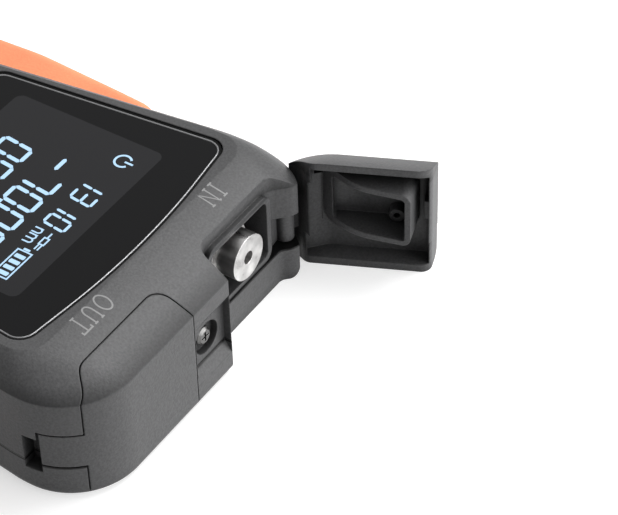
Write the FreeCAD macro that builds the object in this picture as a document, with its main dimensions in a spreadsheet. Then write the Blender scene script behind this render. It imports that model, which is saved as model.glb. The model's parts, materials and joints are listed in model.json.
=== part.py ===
"""Handheld optical power meter with two flip caps over its fibre ports.

X runs across the meter, +Y points to the port end and +Z to the display. The origin is the middle of
the back face. Every length is in millimetres and lives in the Sizes sheet.
"""
import FreeCAD, Part
import math
import os

import Sketcher

SIZES = {
    # housing
    "body_length": 136, "head_half": 35.3, "waist_half": 28.5, "tail_half": 33.5,
    "taper_start": 15, "waist_place": 72, "head_corner": 13, "waist_round": 60, "tail_corner": 14,
    "full_height": 26.5, "crease_height": 21.5, "parting_height": 7.2, "crown_height": 24.4,
    "crown_corner": 10, "plateau_corner": 5, "crown_tail": 12, "plateau_tail": 9, "taper_round": 20,
    "port_slope": 13.2, "side_slope": 4.6, "tail_slope": 8, "crown_share": 0.42,
    "wall": 2.2, "roof": 2, "floor_wall": 2, "block_depth": 15.2, "cavity_step": 20.5, "base_round": 2,
    # ports
    "port_spacing": 34, "port_height": 15, "web_half": 4.4, "cap_depth": 7, "cap_foot": 5.6,
    "cap_corner": 3, "foot_corner": 2, "recess_lean": 1.3, "running_gap": 0.2, "box_rim": 5.9, "box_left": 7.3,
    "box_right": 26.2, "box_top": 22.3, "box_wall": 1.2, "box_corner": 2.5, "port_depth": 11,
    "web_recess": 1.5, "web_slope": 3.5, "web_top": 2.5, "web_trim": 0.5, "ledge_drop": 2.4,
    # caps
    "hinge_inset": 3.7, "hinge_depth": 6.9, "seam_radius": 3.3, "cap_opening": 115, "cap_wall": 1.6,
    "arm_bottom": 7.5, "arm_top": 14.5, "arm_thick": 1.5, "arm_reach": 9.9, "knuckle_radius": 1.7,
    "bay_radius": 4.9, "slot_end": 13.2, "slot_bottom": 5.6, "slot_top": 13,
    "pin_radius": 0.75, "pin_seat": 2.3, "pin_clearance": 0.05,
    "collar_gap": 0.6, "collar_wall": 1, "collar_deep": 9, "collar_knee": 7, "collar_shallow": 2,
    "collar_turn": 12, "collar_corner": 1.6, "collar_flare": 7, "knee_place": 7, "arm_overlap": 2,
    "lip_rise": 3.4, "lip_drop": 0.9, "tray_corner": 1.5, "tray_bend": 3, "tray_turn": 4,
    "knuckle_room": 1.5, "shoulder_room": 0.8, "shoulder_drop": 2.1,
    "tab_low": 12, "tab_high": 16, "tab_depth": 4.4, "tab_proud": 1,
    "eye_radius": 1.4, "eye_bore": 0.6, "eye_depth": 3.8, "eye_place": 12, "eye_height": 11.6,
    # adapters
    "ferrule_bore": 1.26, "sleeve_radius": 4.4, "sleeve_front": 4.4, "flange_radius": 5.1,
    "flange_thick": 2.5, "spigot_radius": 2.9, "can_radius": 2.7, "can_length": 4,
    "laser_radius": 3.2, "laser_length": 12,
    # display
    "window_start": 16.4, "window_end": 63.5, "window_half": 29.1, "window_foot": 24.1, "window_bow": 3.6,
    "window_corner": 3.6, "window_thick": 1.2, "window_sink": 0.3, "window_gap": 0.25, "bow_round": 150,
    "lcd_half": 21.7, "lcd_start": 24, "lcd_end": 55.8, "lcd_margin": 1.2, "lcd_thick": 1.6,
    "frame_wall": 1.5,
    # board, battery and socket
    "board_drop": 7.5, "board_thick": 1.6, "board_gap": 0.8, "post_radius": 2.6, "front_post": 25.5,
    "rear_post": 22, "post_front": 20, "post_back": 12, "screw_radius": 1, "screw_clearance": 0.2, "overrun": 1, "fit_gap": 0.1, "bay_gap": 0.3,
    "thread_sink": 0.05, "screw_grip": 4.5,
    "screw_head": 2, "head_thick": 1.4, "head_sink": 0.4, "battery_half": 19, "battery_start": 44, "battery_end": 114,
    "battery_thick": 9, "socket_half": 4.5, "socket_thick": 3.2, "socket_depth": 7, "socket_wall": 0.3,
    # keys
    "key_radius": 5, "key_pitch": 14.5, "key_row": 15, "key_first": 81, "key_proud": 1.1,
    "key_flange": 0.9, "flange_height": 1.4, "key_gap": 0.25, "key_travel": 1, "key_edge": 0.6, "key_play": 0.2, "mat_margin": 1.5, "mat_corner": 2, "mat_thick": 1.2,
    "mat_half": 20.5, "dome_radius": 3.2,
    # grips and web screw
    "grip_start": 32, "grip_end": 118, "grip_out": 37, "grip_swell": 1, "grip_pitch": 18,
    "grip_low": 3, "grip_high": 21.5, "grip_round": 3, "grip_ease": 0.5, "grip_turn": 7, "screw_rise": 4.4, "web_bore": 3.2,
    "web_screw_length": 9,
    "web_head": 1.75, "web_head_thick": 1.2, "cross_half": 1, "cross_width": 0.2, "cross_depth": 0.6,
    "washer_step": 0.6, "tongue_inset": 1.2, "tongue_half": 0.35, "lens_length": 1.5,
}


class Size:
    """A length that carries both its value and the expression that gives it."""

    def __init__(self, value, text):
        self.value = value
        self.text = text

    @staticmethod
    def of(item):
        return item if isinstance(item, Size) else Size(float(item), repr(float(item)))

    def __add__(self, other):
        other = Size.of(other)
        return Size(self.value + other.value, f"({self.text} + {other.text})")

    def __sub__(self, other):
        other = Size.of(other)
        return Size(self.value - other.value, f"({self.text} - {other.text})")

    def __mul__(self, other):
        other = Size.of(other)
        return Size(self.value * other.value, f"({self.text} * {other.text})")

    def __truediv__(self, other):
        other = Size.of(other)
        return Size(self.value / other.value, f"({self.text} / {other.text})")

    def __neg__(self):
        return self * -1

    __radd__ = __add__
    __rmul__ = __mul__

    def __rsub__(self, other):
        return Size.of(other) - self


class Sheet:
    """The Sizes sheet of the document, read as attributes."""

    def __init__(self, document):
        self.cells = document.addObject("Spreadsheet::Sheet", "Sizes")
        for row, (alias, number) in enumerate(SIZES.items(), start=1):
            self.cells.set(f"A{row}", alias)
            self.cells.set(f"B{row}", str(number))
            self.cells.setAlias(f"B{row}", alias)
        document.recompute()

    def __getattr__(self, alias):
        return Size(float(SIZES[alias]), f"Sizes.{alias}")


doc = FreeCAD.newDocument("OpticalPowerMeter")
size = Sheet(doc)
TAN_EIGHTH = math.tan(math.pi / 8)
HAIR = 0.01
HEAD_BEVEL = 0.4
SOCKET_BEND = 0.45
port_end = size.body_length / 2


def behind(distance):
    """Y of a place that lies this far behind the port end."""
    return port_end - distance


# ---------------------------------------------------------------- sketches and features

def add_body(name):
    body = doc.addObject("PartDesign::Body", "body_" + name)
    body.Label = name
    return body


def unit(start, end):
    length = math.dist(start, end)
    return ((end[0] - start[0]) / length, (end[1] - start[1]) / length)


def corner_cut(before, corner, after, radius):
    """Tangent points and centre of the arc that rounds one corner."""
    back, ahead = unit(corner, before), unit(corner, after)
    half = math.acos(max(-1, min(1, back[0] * ahead[0] + back[1] * ahead[1]))) / 2
    reach = radius / math.tan(half)
    middle = (back[0] + ahead[0], back[1] + ahead[1])
    span = math.hypot(*middle)
    depth = radius / math.sin(half) / span
    first = (corner[0] + back[0] * reach, corner[1] + back[1] * reach)
    last = (corner[0] + ahead[0] * reach, corner[1] + ahead[1] * reach)
    return first, last, (corner[0] + middle[0] * depth, corner[1] + middle[1] * depth)


def vector(point):
    return FreeCAD.Vector(point[0], point[1], 0)


def bind(sketch, kind, places, amount):
    """Adds one dimension to a sketch and ties it to its expression."""
    index = sketch.addConstraint(Sketcher.Constraint(kind, *places, amount.value))
    sketch.setExpression(f"Constraints[{index}]", amount.text)


def pin_point(sketch, geometry, end, x, y):
    bind(sketch, "DistanceX", (-1, 1, geometry, end), Size.of(x))
    bind(sketch, "DistanceY", (-1, 1, geometry, end), Size.of(y))


def draw_loop(sketch, corners):
    """Draws a closed outline of straight edges whose corners may be rounded: (x, y, radius)."""
    corners = [(Size.of(x), Size.of(y), Size.of(radius)) for x, y, radius in corners]
    points = [(x.value, y.value) for x, y, _ in corners]
    count = len(corners)
    entry, leave, centre = [], [], []
    for i in range(count):
        radius = corners[i][2].value
        if radius == 0:
            cut = (points[i], points[i], None)
        else:
            cut = corner_cut(points[i - 1], points[i], points[(i + 1) % count], radius)
        entry.append(cut[0])
        leave.append(cut[1])
        centre.append(cut[2])
    lines = []
    for i in range(count):
        line = Part.LineSegment(vector(leave[i]), vector(entry[(i + 1) % count]))
        lines.append(sketch.addGeometry(line, False))
    for i, (x, y, radius) in enumerate(corners):
        incoming, outgoing = lines[i - 1], lines[i]
        if radius.value == 0:
            sketch.addConstraint(Sketcher.Constraint("Coincident", incoming, 2, outgoing, 1))
            pin_point(sketch, outgoing, 1, x, y)
            continue
        angles = [math.atan2(p[1] - centre[i][1], p[0] - centre[i][0]) for p in (entry[i], leave[i])]
        turn = (angles[1] - angles[0] + math.pi) % (2 * math.pi) - math.pi
        start, end = (angles[0], angles[0] + turn) if turn > 0 else (angles[1], angles[1] - turn)
        circle = Part.Circle(vector(centre[i]), FreeCAD.Vector(0, 0, 1), radius.value)
        arc = sketch.addGeometry(Part.ArcOfCircle(circle, start, end), False)
        first, last = (1, 2) if turn > 0 else (2, 1)
        sketch.addConstraint(Sketcher.Constraint("Tangent", incoming, 2, arc, first))
        sketch.addConstraint(Sketcher.Constraint("Tangent", outgoing, 1, arc, last))
        bind(sketch, "Radius", (arc,), radius)
        corner = sketch.addGeometry(Part.Point(vector(points[i])), True)
        pin_point(sketch, corner, 1, x, y)
        sketch.addConstraint(Sketcher.Constraint("PointOnObject", corner, 1, incoming))
        sketch.addConstraint(Sketcher.Constraint("PointOnObject", corner, 1, outgoing))


def draw_circle(sketch, x, y, radius):
    x, y, radius = Size.of(x), Size.of(y), Size.of(radius)
    circle = Part.Circle(vector((x.value, y.value)), FreeCAD.Vector(0, 0, 1), radius.value)
    geometry = sketch.addGeometry(circle, False)
    pin_point(sketch, geometry, 3, x, y)
    bind(sketch, "Radius", (geometry,), radius)


def add_sketch(body, plane, offset, loops=(), circles=()):
    """Sketch on one of the body's own origin planes, moved along its normal."""
    sketch = body.newObject("Sketcher::SketchObject", body.Label + "_sketch")
    role = plane + "_Plane"
    support = next(item for item in body.Origin.OriginFeatures if item.Role == role)
    sketch.AttachmentSupport = (support, [""])
    sketch.MapMode = "FlatFace"
    sketch.setExpression("AttachmentOffset.Base.z", Size.of(offset).text)
    for corners in loops:
        draw_loop(sketch, corners)
    for x, y, radius in circles:
        draw_circle(sketch, x, y, radius)
    doc.recompute()
    return sketch


def add_feature(body, kind, sketch, length, reverse=False):
    """Pads or pockets a sketch; a feature that changes no volume is an error."""
    before = body.Shape.Volume if body.Shape and not body.Shape.isNull() else 0
    feature = body.newObject("PartDesign::" + kind, body.Label + "_" + kind.lower())
    feature.Profile = sketch
    feature.Reversed = reverse
    feature.setExpression("Length", Size.of(length).text)
    doc.recompute()
    if abs(feature.Shape.Volume - before) < 1e-3:
        raise ValueError(f"{feature.Name} changes nothing")
    return feature


def pad(body, plane, offset, length, loops=(), circles=(), reverse=False):
    return add_feature(body, "Pad", add_sketch(body, plane, offset, loops, circles), length, reverse)


def pocket(body, plane, offset, length, loops=(), circles=(), reverse=False):
    return add_feature(body, "Pocket", add_sketch(body, plane, offset, loops, circles), length, reverse)


def dress_edges(body, kind, setting, amount, chosen):
    """Fillets or chamfers the edges that the test picks."""
    base = body.Tip
    names = [f"Edge{i}" for i, edge in enumerate(base.Shape.Edges, start=1) if chosen(edge)]
    if not names:
        raise ValueError(f"{body.Label} has no such edge")
    feature = body.newObject("PartDesign::" + kind, body.Label + "_" + kind.lower())
    feature.Base = (base, names)
    feature.setExpression(setting, amount.text)
    doc.recompute()


def round_edges(body, radius, chosen):
    dress_edges(body, "Fillet", "Radius", radius, chosen)


def bevel_edges(body, width, chosen):
    dress_edges(body, "Chamfer", "Size", width, chosen)


def rectangle(left, right, low, high, radius=0):
    return [(left, low, radius), (right, low, radius), (right, high, radius), (left, high, radius)]


def mirrored(corners):
    """The same outline on the other side of the middle plane."""
    return [(-Size.of(x), y, radius) for x, y, radius in corners]


# ---------------------------------------------------------------- shared outlines and places

def outline(side=0, front=0, back=0, corner=None, tail=None):
    """Waisted plan of the housing, drawn in from its sides, port end and far end."""
    corner, tail = corner or size.head_corner, tail or size.tail_corner
    head, waist, foot = (half - side for half in (size.head_half, size.waist_half, size.tail_half))
    right = [
        (foot, behind(size.body_length) + back, tail),
        (waist, behind(size.waist_place), size.waist_round),
        (head, behind(size.taper_start + Size.of(front) / 2),
         size.taper_round),
        (head, port_end - front, corner),
    ]
    return right + mirrored(right)[::-1]


def side_at(distance):
    """Half width of the straight taper this far behind the port end."""
    fall = (size.head_half - size.waist_half) / (size.waist_place - size.taper_start)
    return size.head_half - (distance - size.taper_start) * fall


def add_crown(body):
    """Domed top between the crease and the flat round the display."""
    share = size.crown_share
    insets = [(0, 0, 0, size.head_corner, size.tail_corner)]
    insets.append((size.side_slope * share, size.port_slope * share, size.tail_slope * share,
                   size.crown_corner, size.crown_tail))
    insets.append((size.side_slope, size.port_slope, size.tail_slope, size.plateau_corner,
                   size.plateau_tail))
    heights = (size.crease_height, size.crown_height, size.full_height)
    sections = [add_sketch(body, "XY", z, [outline(*inset)]) for z, inset in zip(heights, insets)]
    loft = body.newObject("PartDesign::AdditiveLoft", body.Label + "_crown")
    loft.Profile = sections[0]
    loft.Sections = sections[1:]
    doc.recompute()


hinge_x = size.head_half - size.hinge_inset
hinge_y = behind(size.hinge_depth)
port_x = size.port_spacing / 2
beyond = port_end + size.cap_foot
outside = size.head_half + size.web_half


def port_region(back, corner, gap=0):
    """Plan of the corner that a cap fills; its hinge side rolls round the pin."""
    reach = size.seam_radius + gap
    left = size.web_half + gap
    turn_x, turn_y = hinge_x - TAN_EIGHTH * reach, hinge_y + reach
    back_y = behind(back) + gap
    return [
        (left, beyond, 0),
        (left + size.recess_lean, back_y, corner),
        (turn_x - turn_y + back_y, back_y, corner),
        (turn_x, turn_y, reach),
        (outside, turn_y, 0),
        (outside, beyond, 0),
    ]


def on_side(side, corners):
    return corners if side > 0 else mirrored(corners)


posts = [(sign * half, behind(place)) for sign in (-1, 1)
         for half, place in ((size.front_post, size.post_front),
                             (size.rear_post, size.body_length - size.post_back))]
keys = {
    "key_power": (-1, 0), "key_mode": (0, 0), "key_laser": (1, 0),
    "key_light": (-1, 1), "key_unit": (0, 1), "key_zero": (1, 1),
}
key_places = {name: (size.key_pitch * column, behind(size.key_first + size.key_row * row))
              for name, (column, row) in keys.items()}
roof_under = size.full_height - size.roof
board_height = roof_under - size.board_drop
board_top = board_height + size.board_thick
over = size.overrun


# ---------------------------------------------------------------- front shell

def window_plan(gap=0):
    """Tapered display glass whose port edge bows outwards."""
    half, foot = size.window_half + gap, size.window_foot + gap
    top, low = behind(size.window_start) + gap, behind(size.window_end) - gap
    return [
        (foot, low, size.window_corner), (half, top, size.window_corner),
        (0, top + size.window_bow, size.bow_round),
        (-half, top, size.window_corner), (-foot, low, size.window_corner),
    ]


def cut_window(body):
    sink = size.window_sink + size.window_thick
    pocket(body, "XY", size.full_height, sink, [window_plan(size.window_gap)])
    view = rectangle(-size.lcd_half, size.lcd_half, behind(size.lcd_end), behind(size.lcd_start),
                     size.window_thick)
    pocket(body, "XY", size.full_height, size.roof + over, [view])


def cut_hinge_bay(body, side):
    """Room round the pin for the arm, the slot its tip leaves through and the pin's blind hole."""
    rise = size.arm_top + size.bay_gap - size.parting_height
    place = (side * hinge_x, hinge_y)
    pocket(body, "XY", size.parting_height, rise, circles=[(*place, size.bay_radius)], reverse=True)
    slot = rectangle(hinge_x + over, outside, behind(size.slot_end), behind(size.arm_reach) + over)
    pocket(body, "XY", size.parting_height, size.slot_top - size.parting_height,
           [on_side(side, slot)], reverse=True)
    hole = size.pin_radius + size.pin_clearance
    pocket(body, "XY", size.arm_top, size.pin_seat, circles=[(*place, hole)], reverse=True)


def add_port_box(body, side):
    """Walled port whose rim stands a little forward of the recess, with a hole for the adapter."""
    box = rectangle(size.box_left, size.box_right, size.parting_height, size.box_top, size.box_corner)
    front = behind(size.box_rim)
    pad(body, "XZ", -front, size.cap_depth, [on_side(side, box)])
    low, wall = size.parting_height + size.box_wall, size.box_wall
    room = rectangle(size.box_left + wall, size.box_right - wall, low, size.box_top - wall,
                     size.box_corner - wall)
    pocket(body, "XZ", -front, size.port_depth - size.box_rim, [on_side(side, room)], reverse=True)
    hole = size.spigot_radius + size.fit_gap
    pocket(body, "XZ", -behind(size.port_depth), size.block_depth - size.port_depth + over,
           circles=[(side * port_x, size.port_height, hole)], reverse=True)


def shape_web(body):
    """Sets the web between the caps back from the crease down and sinks the screw's bore."""
    half, back = size.web_half + size.web_trim, port_end - size.web_recess
    top, low = size.crease_height - size.web_top, size.parting_height - over
    profile = [(port_end + over, top + over, 0), (back, top - size.web_slope, 0), (back, low, 0),
               (port_end + over, low, 0)]
    pocket(body, "YZ", -half, half * 2, [profile], reverse=True)
    centre = (0, size.parting_height + size.screw_rise)
    pocket(body, "XZ", -back, size.head_thick, circles=[(*centre, size.web_bore)], reverse=True)
    pocket(body, "XZ", -back, size.web_screw_length, circles=[(*centre, size.screw_radius)], reverse=True)


def make_front_shell():
    body = add_body("front_shell")
    rise = size.crease_height - size.parting_height
    pad(body, "XY", size.parting_height, rise, [outline()])
    add_crown(body)
    wall = size.wall
    room = outline(wall, size.block_depth, wall, size.wall, size.tail_corner - wall)
    pocket(body, "XY", size.parting_height, size.cavity_step - size.parting_height, [room], reverse=True)
    loft_room = outline(size.side_slope + wall, size.port_slope + wall, size.tail_slope + wall,
                        size.plateau_corner - wall, size.plateau_tail - wall)
    pocket(body, "XY", size.cavity_step, roof_under - size.cavity_step, [loft_room], reverse=True)
    for side in (-1, 1):
        region = on_side(side, port_region(size.cap_depth, size.cap_corner))
        pocket(body, "XY", size.parting_height, size.full_height, [region], reverse=True)
        add_port_box(body, side)
        cut_hinge_bay(body, side)
    shape_web(body)
    cut_window(body)
    holes = [(x, y, size.key_radius + size.key_gap) for x, y in key_places.values()]
    pocket(body, "XY", size.full_height, size.roof + over, circles=holes)
    bosses = [(x, y, size.post_radius) for x, y in posts]
    pad(body, "XY", board_top, roof_under - board_top, circles=bosses)
    bores = [(x, y, size.screw_radius) for x, y in posts]
    pocket(body, "XY", board_top, size.screw_grip, circles=bores, reverse=True)
    half, gap = size.socket_half + size.bay_gap, size.bay_gap
    socket = rectangle(-half, half, board_height - size.socket_thick - gap, board_height + gap, over)
    pocket(body, "XZ", -behind(size.body_length - size.wall * 2), size.wall * 2 + over, [socket],
           reverse=True)
    return body


def add_rounded_base(body, height):
    """Plan of the housing from the table up, its lower edge rounded."""
    pad(body, "XY", 0, height, [outline()])
    round_edges(body, size.base_round, lambda edge: edge.BoundBox.ZMax < HAIR)


def make_rear_shell():
    body = add_body("rear_shell")
    height = size.parting_height
    add_rounded_base(body, height)
    wall = size.wall
    room = outline(wall, size.block_depth, wall, size.wall, size.tail_corner - wall)
    pocket(body, "XY", height, height - size.floor_wall, [room])
    for side in (-1, 1):
        foot = port_region(size.cap_foot, size.foot_corner)
        pocket(body, "XY", height, height + over, [on_side(side, foot)])
        hole = size.pin_radius + size.pin_clearance
        pocket(body, "XY", height, size.pin_seat, circles=[(side * hinge_x, hinge_y, hole)])
        slot = rectangle(hinge_x + over, outside, behind(size.slot_end), behind(size.arm_reach))
        pocket(body, "XY", height, height - size.slot_bottom, [on_side(side, slot)])
    back, ledge = port_end - size.web_recess, height - size.ledge_drop
    bevel = [(port_end + over, height + over, 0), (back, height + over, 0), (back, height, 0),
             (port_end, ledge, 0), (port_end + over, ledge, 0)]
    half = size.web_half + size.web_trim
    pocket(body, "YZ", -half, half * 2, [bevel], reverse=True)
    pad(body, "XY", size.floor_wall, board_height - size.floor_wall,
        circles=[(x, y, size.post_radius) for x, y in posts])
    bores = [(x, y, size.screw_radius + size.screw_clearance) for x, y in posts]
    pocket(body, "XY", 0, board_height + over, circles=bores, reverse=True)
    heads = [(x, y, size.screw_head + size.bay_gap) for x, y in posts]
    pocket(body, "XY", 0, size.head_sink + size.head_thick, circles=heads, reverse=True)
    return body


# ---------------------------------------------------------------- flip caps

def around(region):
    """Everything but the region, as a sketch with a hole."""
    far = size.body_length
    return [rectangle(-far, far, -far, far), region]


def add_arm(body, side):
    """Arm that follows the corner of the housing, its knuckle and the bore for the pin."""
    low, rise = size.arm_bottom, size.arm_top - size.arm_bottom
    thick, head, corner = size.arm_thick, size.head_half, size.head_corner
    start, end = head - corner - over, behind(corner + size.arm_overlap)
    ring = [(start, port_end, 0), (head, port_end, corner), (head, end, 0), (head - thick, end, 0),
            (head - thick, port_end - thick, corner - thick), (start, port_end - thick, 0)]
    pad(body, "XY", low, rise, [on_side(side, ring)])
    tail = rectangle(hinge_x, outside, end - over, behind(size.arm_reach))
    pocket(body, "XY", low - over, rise + over * 2, [on_side(side, tail)], reverse=True)
    place = (side * hinge_x, hinge_y)
    pad(body, "XY", low, rise, circles=[(*place, size.knuckle_radius)])
    hole = size.pin_radius + size.pin_clearance
    pocket(body, "XY", low - over, rise + over * 2, circles=[(*place, hole)], reverse=True)


def hollow_cap(body, side):
    """Opens the cap towards the port: a tray with a domed lip above and a shallow foot below."""
    wall = size.cap_wall
    left = size.web_half + size.running_gap + wall
    skin, back = port_end - wall, behind(size.cap_depth) - over
    turn = hinge_x - size.seam_radius
    near = turn - size.knuckle_room
    plan = [(left, back, 0), (left, skin, size.tray_corner),
            (turn - size.tray_turn, skin, size.tray_bend),
            (turn + size.shoulder_room, skin - size.shoulder_drop, size.shoulder_room),
            (near, hinge_y + size.fit_gap, 0), (near, back, 0)]
    top = size.crease_height - wall
    pocket(body, "XY", wall, top - wall, [on_side(side, plan)], reverse=True)
    start = size.crease_height - size.lip_drop
    slope = [(skin, top - over, 0), (skin, start, 0), (back, start + size.lip_rise, 0),
             (back, top - over, 0)]
    run = near - left
    pocket(body, "YZ", left if side > 0 else -near, run, [slope], reverse=True)


def add_collar(body, side):
    """Flared plug that seals the port; its rim curves back so that it clears the port in its swing."""
    gap, wall = size.box_wall + size.collar_gap, size.collar_wall
    left, right = size.box_left + gap, size.box_right - gap
    low, high = size.parting_height + gap, size.box_top - gap
    mouth, skin = behind(size.collar_deep), size.cap_wall - size.fit_gap
    outer = rectangle(left, right, low, high, size.collar_corner)
    plug = pad(body, "XZ", -mouth, size.collar_deep - skin, [on_side(side, outer)], reverse=True)
    plug.setExpression("TaperAngle", f"{size.collar_flare.text} * 1deg")
    far = right + size.collar_gap * 2
    rim = [(left - over, mouth, 0), (far - size.knee_place, behind(size.collar_knee), size.collar_turn),
           (far, behind(size.collar_shallow), 0), (far, mouth - over, 0), (left - over, mouth - over, 0)]
    pocket(body, "XY", low - over, high - low + over * 2, [on_side(side, rim)], reverse=True)
    inner = rectangle(left + wall, right - wall, low + wall, high - wall, size.collar_corner - wall)
    pocket(body, "XZ", -mouth, size.collar_deep - size.cap_wall, [on_side(side, inner)])
    eye = (side * size.eye_place, size.eye_height)
    rings = [(*eye, size.eye_radius), (*eye, size.eye_bore)]
    pad(body, "XZ", -behind(skin), size.eye_depth - skin, circles=rings)


def add_latch_tab(body, side):
    """Small tab on the cap's free end that snaps behind the web."""
    left = size.web_half + size.running_gap + size.cap_wall - size.fit_gap
    tab = rectangle(left, left + size.tab_proud, size.tab_low, size.tab_high)
    skin = size.cap_wall - size.fit_gap
    pad(body, "XZ", -behind(skin), size.tab_depth - skin, [on_side(side, tab)])


def make_cap(name, side, opening=None):
    body = add_body(name)
    gap = size.running_gap
    add_rounded_base(body, size.crease_height)
    add_crown(body)
    region = on_side(side, port_region(size.cap_depth, size.cap_corner, gap))
    pocket(body, "XY", 0, size.full_height + over, around(region), reverse=True)
    foot = on_side(side, port_region(size.cap_foot, size.foot_corner, gap))
    pocket(body, "XY", 0, size.parting_height, around(foot), reverse=True)
    hollow_cap(body, side)
    add_collar(body, side)
    add_latch_tab(body, side)
    add_arm(body, side)
    if opening:
        swing(body, side, opening)
    return body


def swing(body, side, opening):
    """Turns a cap about its pin, away from the port."""
    angle = f"{opening.text} * 1deg"
    across, along = (side * hinge_x).text, hinge_y.text
    body.setExpression("Placement.Rotation.Angle", f"{angle}")
    body.setExpression("Placement.Base.x", f"{across} * (1 - cos({angle})) + {along} * sin({angle})")
    body.setExpression("Placement.Base.y", f"{along} * (1 - cos({angle})) - {across} * sin({angle})")
    doc.recompute()


def make_pin(name, side):
    body = add_body(name)
    low = size.parting_height - size.pin_seat
    rise = size.arm_top + size.pin_seat - low
    pad(body, "XY", low, rise, circles=[(side * hinge_x, hinge_y, size.pin_radius)])
    return body


# ---------------------------------------------------------------- port parts

def tube(body, front, back, radius, side, bore=None):
    """Round piece along Y on a port's axis, between two depths behind the port end."""
    circles = [(side * port_x, size.port_height, radius)]
    if bore:
        circles.append((side * port_x, size.port_height, bore))
    pad(body, "XZ", -behind(front), back - front, circles=circles)


def make_sleeve(name, side):
    """Push-on sleeve that takes the ferrule, with a chamfered mouth."""
    body = add_body(name)
    back = size.port_depth - size.flange_thick
    tube(body, size.sleeve_front, back, size.sleeve_radius, side, size.ferrule_bore)
    return body


def make_flange(name, side):
    """Flange on the back wall of the port, with a spigot through the wall."""
    body = add_body(name)
    front = size.port_depth - size.flange_thick
    tube(body, front, size.port_depth, size.flange_radius, side, size.ferrule_bore)
    tube(body, size.port_depth, size.block_depth, size.spigot_radius, side, size.ferrule_bore)
    return body


def make_detector():
    """Photodiode can with its wider base."""
    body = add_body("detector_can")
    front, back = size.block_depth, size.block_depth + size.can_length
    base = front + over
    tube(body, front, base, size.can_radius + size.washer_step, -1)
    tube(body, base, back, size.can_radius, -1)
    return body


def make_laser():
    """Laser module with its narrower driver end."""
    body = add_body("laser_module")
    end = size.block_depth + size.laser_length
    tube(body, size.block_depth, end, size.laser_radius, 1)
    tube(body, end, end + size.lens_length, size.laser_radius - over, 1)
    return body


def make_web_screw():
    """Cross-head screw between the caps; its shank runs into the port block."""
    body = add_body("web_screw")
    height = size.parting_height + size.screw_rise
    face = port_end - size.web_recess - size.head_thick
    top = face + size.web_head_thick
    pad(body, "XZ", -top, size.web_head_thick, circles=[(0, height, size.web_head)])
    bevel_edges(body, size.web_head_thick * HEAD_BEVEL,
                lambda edge: edge.BoundBox.YMin > top.value - HAIR)
    pad(body, "XZ", -face, size.web_screw_length - size.head_thick - size.cross_width,
        circles=[(0, height, size.screw_radius - size.thread_sink)])
    half, width = size.cross_half, size.cross_width
    for cross in (rectangle(-width, width, height - half, height + half),
                  rectangle(-half, half, height - width, height + width)):
        pocket(body, "XZ", -top, size.cross_depth, [cross], reverse=True)
    return body


def make_rear_screws():
    """The four housing screws as separate solids."""
    screws = []
    low, radius = size.head_sink.value, size.screw_radius.value - size.thread_sink.value
    length = board_top.value + size.screw_grip.value - over.value - low
    for x, y in posts:
        foot = FreeCAD.Vector(x.value, y.value, low)
        head = Part.makeCylinder(size.screw_head.value, size.head_thick.value, foot)
        shank = Part.makeCylinder(radius, length, foot)
        screws.append(head.fuse(shank).removeSplitter())
    item = doc.addObject("Part::Feature", "rear_screws")
    item.Shape = Part.makeCompound(screws)
    return item


# ---------------------------------------------------------------- display, board and battery

def make_window():
    body = add_body("display_window")
    low = size.full_height - size.window_sink - size.window_thick
    pad(body, "XY", low, size.window_thick, [window_plan()])
    return body


def make_lcd():
    body = add_body("lcd_panel")
    margin = size.lcd_margin
    plan = rectangle(-size.lcd_half - margin, size.lcd_half + margin,
                     behind(size.lcd_end) - margin, behind(size.lcd_start) + margin)
    pad(body, "XY", roof_under - size.lcd_thick, size.lcd_thick, [plan])
    return body


def make_lcd_frame():
    """Open frame that holds the display panel off the board."""
    body = add_body("lcd_frame")
    margin, wall = size.lcd_margin, size.frame_wall
    low, high = behind(size.lcd_end) - margin, behind(size.lcd_start) + margin
    half = size.lcd_half + margin
    outer = rectangle(-half, half, low, high)
    inner = rectangle(-half + wall, half - wall, low + wall, high - wall)
    pad(body, "XY", board_top, roof_under - size.lcd_thick - board_top, [outer, inner])
    return body


def make_board():
    body = add_body("main_board")
    inset = size.wall + size.board_gap
    plan = outline(inset, size.block_depth + size.board_gap, inset, size.wall, size.tail_corner - inset)
    holes = [(x, y, size.screw_radius + size.screw_clearance) for x, y in posts]
    pad(body, "XY", board_height, size.board_thick, [plan], holes)
    half, end = size.laser_radius + size.board_gap, behind(size.block_depth + size.laser_length * 1.25)
    for side in (-1, 1):
        notch = rectangle(port_x - half, port_x + half, end, behind(size.block_depth) + over)
        pocket(body, "XY", board_height, size.board_thick, [on_side(side, notch)], reverse=True)
    return body


def make_battery():
    body = add_body("battery_pack")
    plan = rectangle(-size.battery_half, size.battery_half, behind(size.battery_end),
                     behind(size.battery_start), size.floor_wall)
    pad(body, "XY", size.floor_wall, size.battery_thick, [plan])
    return body


def make_socket():
    """Charging socket on the underside of the board, open at the far end."""
    body = add_body("charge_socket")
    half, thick, wall = size.socket_half, size.socket_thick, size.socket_wall
    low, high = board_height - thick, board_height
    bend, middle = thick * SOCKET_BEND, (low + high) / 2
    shell = rectangle(-half, half, low, high, bend)
    mouth = rectangle(-half + wall, half - wall, low + wall, high - wall, bend - wall)
    end = behind(size.body_length)
    pad(body, "XZ", -(end + size.socket_depth), size.socket_depth, [shell])
    pocket(body, "XZ", -end, size.socket_depth - over, [mouth])
    inset, tall = size.tongue_inset, size.tongue_half
    tongue = rectangle(-half + inset, half - inset, middle - tall, middle + tall)
    pad(body, "XZ", -(end + size.socket_depth - wall), size.socket_depth - over - wall, [tongue])
    return body


# ---------------------------------------------------------------- keys and grips

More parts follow.
